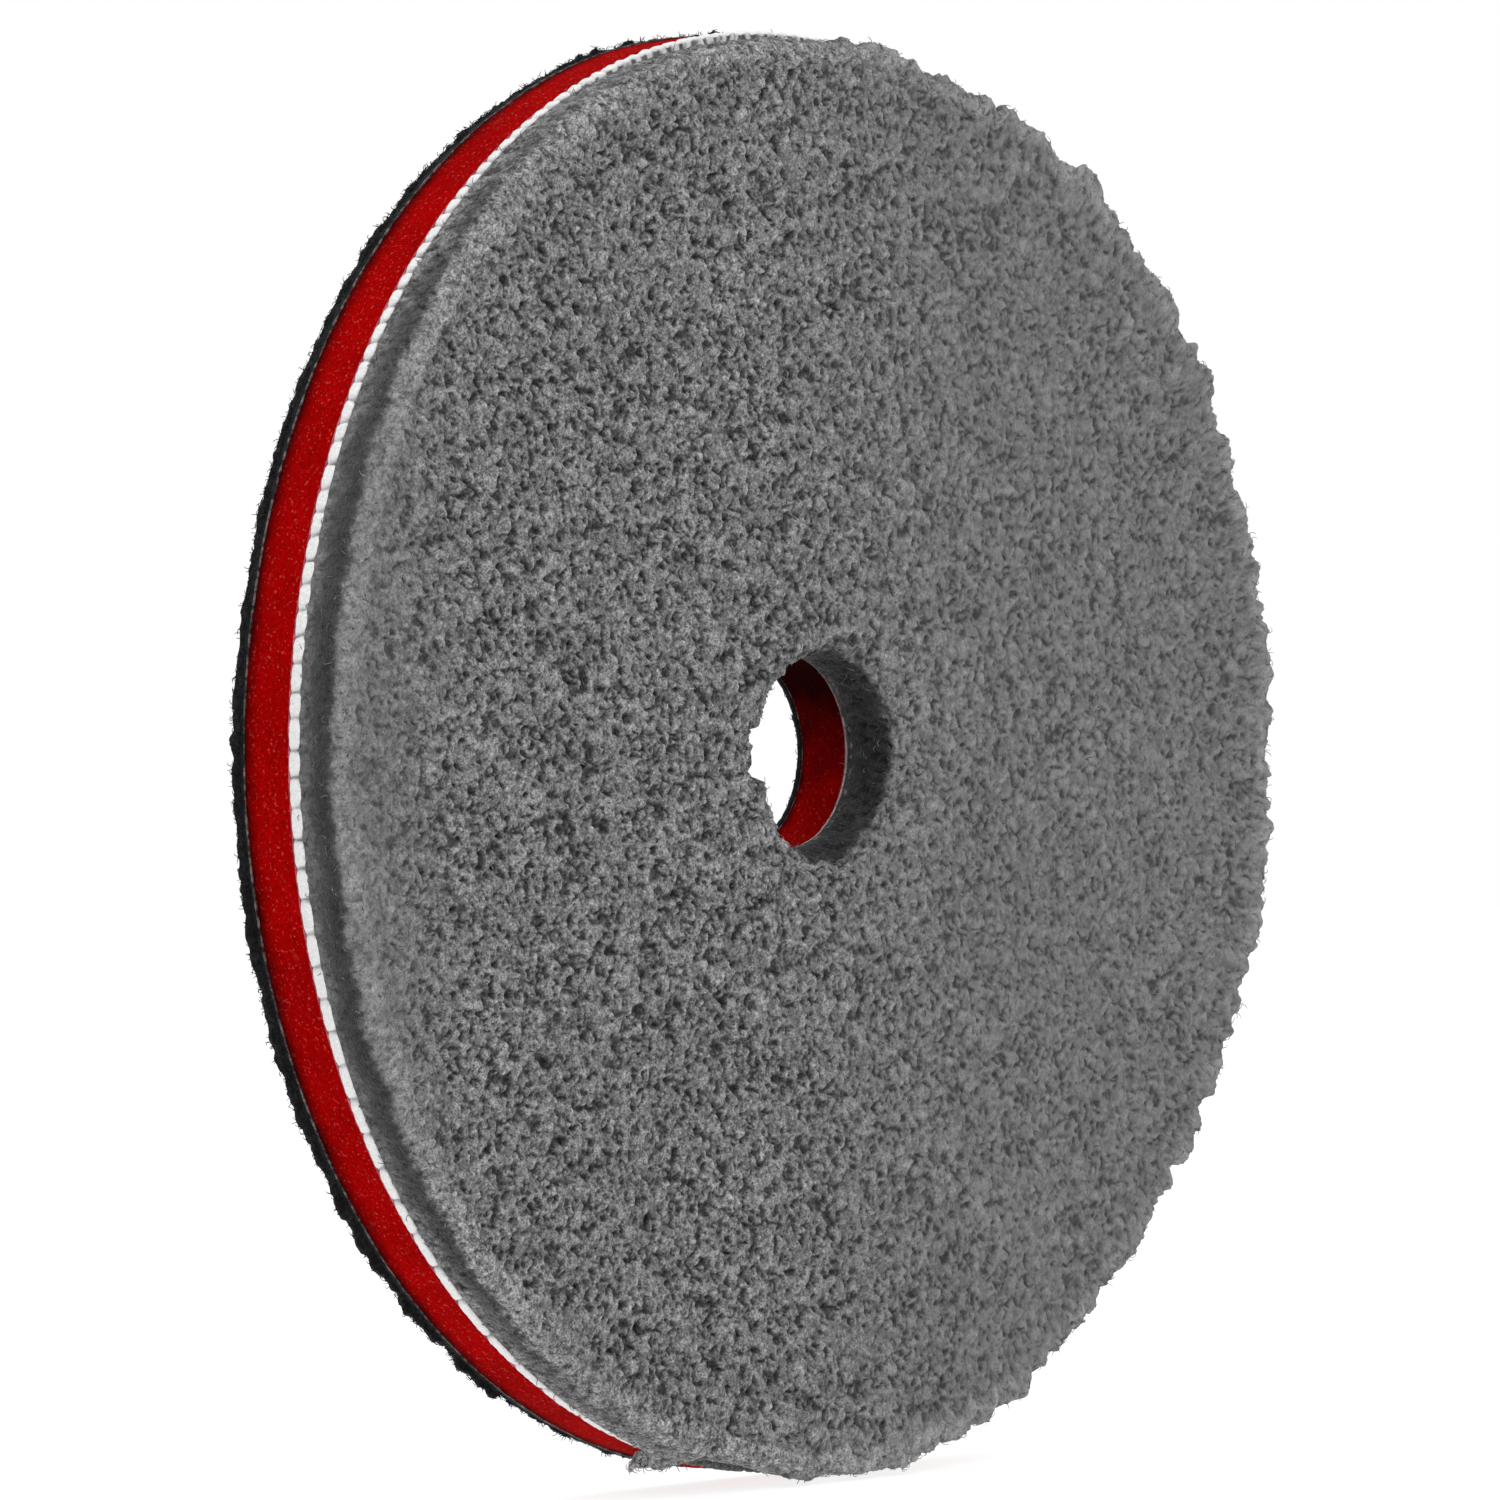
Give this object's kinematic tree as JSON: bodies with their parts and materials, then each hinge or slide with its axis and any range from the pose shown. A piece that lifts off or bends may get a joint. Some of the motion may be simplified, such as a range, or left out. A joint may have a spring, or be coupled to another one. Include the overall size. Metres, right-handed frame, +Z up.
{
  "type": "microfibre polishing pad",
  "caption": "Flat round polishing pad for a machine: grey tufted microfibre face on white knit, thin red foam core, black loop-fabric back and a central hole.",
  "frame": {"origin": "the wheel's centre: on the spin axis, half way through the whole thickness", "axes": "+Y along the spin axis towards the machine, out of the loop face; -Y out of the working face; +Z up; +X to the right as seen from the working face"},
  "size_m": [0.1512, 0.014, 0.1512],
  "materials": {
    "grey_microfibre": "tufted, matte, slightly sheened",
    "white_knit": "knitted, matte",
    "adhesive_film": "translucent milky film",
    "red_foam": "fine open-cell foam, matte",
    "black_cloth": "warp-knitted, matte",
    "black_loops": "brushed loops, matte"
  },
  "bodies": {
    "root": {"microfibre_pile": "grey_microfibre", "ground_knit": "white_knit", "face_adhesive_film": "adhesive_film", "foam_core": "red_foam", "backing_adhesive_film": "adhesive_film", "loop_backing_cloth": "black_cloth", "loop_nap": "black_loops"}
  },
  "joints": []
}
